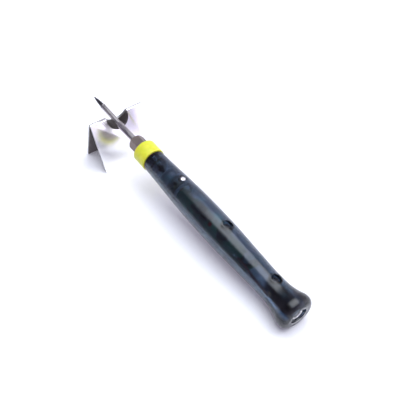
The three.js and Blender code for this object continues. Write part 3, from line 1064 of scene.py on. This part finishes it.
def make_chip(name, node, x, y, size, height, legs, pitch):
    """A moulded package with bent legs along two sides."""
    half_x, half_y = size[0] / 2, size[1] / 2
    low, high = SEAT + 0.12, SEAT + height
    body = block("package", (x - half_x, x + half_x), (y - half_y, y + half_y), (low, high))
    bevel(body, 0.12)
    paint_only(body, "chip")
    dot = cylinder(x - half_x + 0.55, y - half_y + 0.55, 0.22, high, high + 0.015, 16)
    parts = [body, paint_only(dot, "solder")]
    mid = SEAT + height * 0.45
    for side in (-1, 1):
        for k in range(legs):
            centre = y + (k - (legs - 1) / 2) * pitch
            edge = x + side * half_x
            bend = [
                (edge - side * 0.05, mid - 0.06),
                (edge + side * 0.28, mid - 0.06),
                (edge + side * 0.42, BOARD_TOP + 0.16),
                (edge + side * 0.75, BOARD_TOP + 0.12),
                (edge + side * 0.75, BOARD_TOP + 0.02),
                (edge + side * 0.30, BOARD_TOP + 0.02),
                (edge + side * 0.16, mid - 0.2),
                (edge - side * 0.05, mid - 0.2),
            ]
            verts, faces = prism(bend, centre - 0.18, centre + 0.18, "XZ")
            parts.append(paint_only(make_piece("leg", verts, faces), "solder"))
    finish_piece(join(name, parts), "handle", "chip", node)


def make_electronics():
    make_board()
    make_chip("control_chip_package", "control_chip", 0, 66, (4, 5), 1.5, 4, 1.2)
    make_chip("power_transistor_package", "power_transistor", 0, 72.5, (5.5, 6), 2.2, 3, 1.9)

    bulb = [
        (SEAT, 0),
        (SEAT, 1.0),
        (SEAT + 0.3, 1.0),
        (SEAT + 0.3, 0.85),
        (SEAT + 1.1, 0.85),
        (SEAT + 1.45, 0.7),
        (SEAT + 1.7, 0.4),
        (SEAT + 1.8, 0),
    ]
    lens = upright("indicator_led_lens", -1.7, 61.4, bulb, 36)
    finish_piece(lens, "handle", "led", "indicator_led")

    can_side = rounded(
        [
            (77, 1.2, 0.1),
            (77.25, 1.5, 0.1),
            (82.2, 1.5, 0.15),
            (82.3, 1.2, 0.1),
            (82.6, 1.1, 0.1),
        ]
    )
    sensor = turned(
        "vibration_sensor_can",
        [(77, 0), *can_side, (82.6, 0)],
        48,
        centre=(1.9, 0, SEAT + 1.5),
    )
    finish_piece(sensor, "handle", "chrome", "vibration_sensor")

    base = block("base", (-2.4, 2.4), (32.6, 37.4), (SEAT, SEAT + 0.7))
    bevel(base, 0.3, 3)
    paint_only(base, "black_plastic")
    can = upright(
        "can",
        0,
        35,
        [(SEAT + 0.65, 0)]
        + rounded(
            [
                (SEAT + 0.65, 2.4, 0.1),
                (SEAT + 1.1, 2.25, 0.1),
                (SEAT + 1.3, 2.48, 0.1),
                (SEAT + 3.6, 2.48, 0.2),
                (SEAT + 3.5, 1.9, 0.1),
            ]
        )
        + [(SEAT + 3.5, 0)],
        48,
    )
    paint_only(can, "pale_sleeve")
    finish_piece(join("capacitor_can", [base, can]), "handle", "steel", "capacitor")

    for i, (x, y) in enumerate([(-3.4, 67), (3.4, 62), (3.4, 65)]):
        width, height = (x - 0.4, x + 0.4), (SEAT, SEAT + 0.5)
        parts = [paint_only(block("body", width, (y - 0.5, y + 0.5), height), "chip")]
        for ends in ((y - 0.8, y - 0.51), (y + 0.51, y + 0.8)):
            cap = bevel(block("cap", width, ends, height), 0.06)
            parts.append(paint_only(cap, "solder"))
        finish_piece(join(f"resistor_{i}_chip", parts), "handle", "chip", f"resistor_{i}")

    guide = turned(
        "light_ring_frosted",
        rounded([(84.6, 4.75, 0.15), (84.6, 5.7, 0.2), (86.0, 5.7, 0.2), (86.0, 4.75, 0.15)]),
        SEGMENTS,
    )
    finish_piece(guide, "handle", "clear_plastic", "light_ring")


make_electronics()


# ------------------------------------------------------------------ socket in the butt


def make_jack():
    bush = turned(
        "jack_bush_polished",
        rounded(
            [(1.0, 1.8, 0.15), (1.0, 2.6, 0.1), (1.3, 2.9, 0.15), (5.2, 2.9, 0), (5.2, 1.8, 0)]
        ),
        72,
    )
    finish_piece(bush, "handle", "chrome", "jack_bush")
    body = turned(
        "jack_body_moulded",
        [(14.2, 0)]
        + rounded(
            [
                (14.2, 3.4, 0.1),
                (13.4, 4.0, 0.1),
                (8.2, 4.0, 0),
                (8.0, 3.75, 0),
                (7.6, 3.75, 0),
                (7.4, 4.0, 0),
                (2.7, 4.0, 0.1),
                (2.7, 3.2, 0),
                (5.5, 3.2, 0),
                (5.5, 1.8, 0.1),
                (13.4, 1.8, 0),
            ]
        )
        + [(13.4, 0)],
        72,
    )
    finish_piece(body, "handle", "black_plastic", "jack_body")
    underside = [(8.5, 0.95), (10.2, 0.88), (11.4, 0.8), (12.3, 0.9), (13.1, 0.88)]
    upperside = [(13.1, 1.03), (12.2, 1.05), (11.4, 0.95), (10.2, 1.03), (8.5, 1.1)]
    verts, faces = prism(underside + upperside, -0.5, 0.5, "YZ")
    finish_piece(make_piece("jack_contact_leaf", verts, faces), "handle", "brass", "jack_contact")
    for name, side, slot in (("left", -1, "wire_red"), ("right", 1, "wire_black")):
        xs = sorted((side * 3.2, side * 3.6))
        lug = block("lug", xs, (14.5, 16.2), (-0.8, 0.8))
        bevel(lug, 0.1)
        finish_piece(lug, "handle", "brass", f"jack_lug_{name}")
        route = spline(
            [
                (side * 4.35, 15.1, 0),
                (side * 4.35, 19, 0),
                (side * 4.3, 25, 0.3),
                (side * 3.7, 32, 0.7),
                (side * 3.1, 38.5, 0.35),
            ],
            10,
        )
        lead = tube(f"supply_wire_{name}_lead", route, 0.5, 16)
        finish_piece(lead, "handle", slot, f"supply_wire_{name}")


make_jack()


# ------------------------------------------------------------------ stand

STAND_WIDTH = 33
STAND_HEIGHT = 27.6
STAND_THICKNESS = 1.0
FOLD_RADIUS = 1.2
LEG_ANGLE = math.radians(20.2)
HOLE_RADIUS = 6.79
HOLE_OFFSET = 1.82


def stand_section():
    apex = STAND_HEIGHT + FOLD_RADIUS * (1 / math.sin(LEG_ANGLE) - 1)
    inner_apex = apex - STAND_THICKNESS / math.sin(LEG_ANGLE)
    centre = STAND_HEIGHT - FOLD_RADIUS
    slope = math.tan(LEG_ANGLE)
    reach = 90 - math.degrees(LEG_ANGLE)

    def arc(radius, start, end):
        angles = [math.radians(start + (end - start) * k / 16) for k in range(17)]
        return [(radius * math.sin(a), centre + radius * math.cos(a)) for a in angles]

    return (
        [(-apex * slope, 0)]
        + arc(FOLD_RADIUS, -reach, reach)
        + [(apex * slope, 0), (inner_apex * slope, 0)]
        + arc(FOLD_RADIUS - STAND_THICKNESS, reach, -reach)
        + [(-inner_apex * slope, 0)]
    ), apex


def make_stand():
    section, apex = stand_section()
    verts, faces = prism(section, -STAND_WIDTH / 2, STAND_WIDTH / 2, "YZ")
    sheet = make_piece("stand_sheet_folded", verts, faces, matrix=STAND)
    for side, along in ((-1, HOLE_OFFSET), (1, -HOLE_OFFSET)):
        outline = [(-1.4, 0), (-1.4, HOLE_RADIUS), (2, HOLE_RADIUS), (2, 0)]
        points, sides = revolve(outline, 96)
        lean = LEG_ANGLE if side > 0 else math.pi - LEG_ANGLE
        from_apex = along + apex - STAND_HEIGHT
        place = Matrix.Translation(
            (0, side * from_apex * math.sin(LEG_ANGLE), apex - from_apex * math.cos(LEG_ANGLE))
        ) @ Matrix.Rotation(lean, 4, "X")
        points = [place @ p for p in points]
        combine(sheet, make_piece("cutter", points, sides, matrix=STAND), "DIFFERENCE")
    work = bmesh.new()
    work.from_mesh(sheet.data)
    corners = [
        edge
        for edge in work.edges
        if abs(edge.calc_length() - STAND_THICKNESS / math.cos(LEG_ANGLE) * MM) < 0.02 * MM
        and all(v.co.z < 0.01 * MM for v in edge.verts)
    ]
    bmesh.ops.bevel(work, geom=corners, offset=0.9 * MM, segments=5, affect="EDGES", profile=0.5)
    work.to_mesh(sheet.data)
    work.free()
    bevel(sheet, 0.2, 2, 50)
    for slot in ("sheet", "sheet_inside_shade", "sheet_edge_and_shade", "sheet_fold_dark_reflection"):
        sheet.data.materials.append(MATERIALS[slot])
    out = Vector((0, math.cos(LEG_ANGLE), math.sin(LEG_ANGLE)))
    fold_height = (STAND_HEIGHT - FOLD_RADIUS * (1 - math.sin(LEG_ANGLE))) * MM
    for face in sheet.data.polygons:
        y = face.center.y - STAND.translation.y
        leg = Vector((0, math.copysign(out.y, y), out.z))
        facing = face.normal.dot(leg)
        if face.center.z > fold_height and abs(face.normal.x) < 0.5:
            # Under the fold gets the inside's painted shade; the back half of the fold gets the
            # painted dark reflection.
            face.material_index = 1 if face.normal.z < 0 else 3 if face.normal.y > -0.25 else 0
        # Above 0.95 only the flat faces keep the plain paint; the bottom bevel falls to the edge paint
        # as a painted contact shade line.
        elif facing > 0.95:
            face.material_index = 0
        # Faces turned inward get the inside paint, painted shade.
        elif facing < -0.8:
            face.material_index = 1
        else:
            face.material_index = 2
    finish_piece(sheet, "stand", "sheet", "stand_sheet")


make_stand()


# ------------------------------------------------------------------ floor and light


def make_floor():
    size = 3.0
    verts = [(-size, -size, 0), (size, -size, 0), (size, size, 0), (-size, size, 0)]
    mesh = bpy.data.meshes.new("floor")
    mesh.from_pydata([Vector(v) for v in verts], [], [(0, 1, 2, 3)])
    floor = bpy.data.objects.new("floor", mesh)
    floor.location.z = -0.00005
    bpy.context.collection.objects.link(floor)
    paint = Paint("floor_paper")
    grain = paint.noise(400, 2, at=paint.world)
    paint.colour(paint.colours(grain, [(0.2, (0.93, 0.93, 0.94)), (0.8, (0.95, 0.95, 0.96))]))
    paint.shader.inputs["Roughness"].default_value = 0.8
    paint.shader.inputs["Specular IOR Level"].default_value = 0.1
    mesh.materials.append(paint.material)


def area_light(name, location, size, power, colour):
    """A soft rectangular light that shines straight down."""
    data = bpy.data.lights.new(name, "AREA")
    data.shape = "RECTANGLE"
    data.size, data.size_y = size
    data.energy = power
    data.color = colour
    lamp = bpy.data.objects.new(name, data)
    lamp.location = location
    bpy.context.collection.objects.link(lamp)


make_floor()
SOFTBOX_COLOUR = (0.92, 0.97, 1.04)
area_light("softbox_core", (0.10, -0.12, 0.80), (0.75, 0.85), 5.5, SOFTBOX_COLOUR)
area_light("softbox_spill", (0.10, -0.10, 0.82), (1.00, 1.05), 4.8, SOFTBOX_COLOUR)


def make_world():
    """A dim studio: darker overhead, behind and to the left, pale low down on the right."""
    world = bpy.data.worlds.new("studio")
    world.use_nodes = True
    tree = world.node_tree
    background = tree.nodes["Background"]
    source = tree.nodes.new("ShaderNodeTexCoord")
    split = tree.nodes.new("ShaderNodeSeparateXYZ")
    tree.links.new(source.outputs["Generated"], split.inputs["Vector"])

    def ramp(value, low, high, stops):
        remap = tree.nodes.new("ShaderNodeMapRange")
        remap.inputs["From Min"].default_value = low
        remap.inputs["From Max"].default_value = high
        tree.links.new(value, remap.inputs["Value"])
        made = tree.nodes.new("ShaderNodeValToRGB")
        elements = made.color_ramp.elements
        while len(elements) < len(stops):
            elements.new(0.5)
        for element, (position, colour) in zip(elements, stops):
            element.position = position
            element.color = (*colour, 1)
        tree.links.new(remap.outputs["Result"], made.inputs["Fac"])
        return made.outputs["Color"]

    sideways = ramp(
        split.outputs["X"],
        -1,
        1,
        [(0.0, (0.30, 0.27, 0.38)), (0.45, (0.28, 0.26, 0.36)), (1.0, (0.95, 0.92, 1.05))],
    )
    height = ramp(
        split.outputs["Z"],
        0,
        1,
        [(0.0, (1, 1, 1)), (0.45, (0.9, 0.9, 0.9)), (0.75, (0.4, 0.4, 0.4))],
    )
    nearness = ramp(
        split.outputs["Y"],
        -1,
        1,
        [(0.0, (1, 1, 1)), (0.25, (0.75, 0.75, 0.75)), (0.5, (0.4, 0.4, 0.4))],
    )
    product = sideways
    for factor in (height, nearness):
        product = colour_product(tree, product, factor)
    tree.links.new(product, background.inputs["Color"])
    background.inputs["Strength"].default_value = 2.7
    bpy.context.scene.world = world


make_world()
bpy.context.scene.view_settings.view_transform = "Standard"
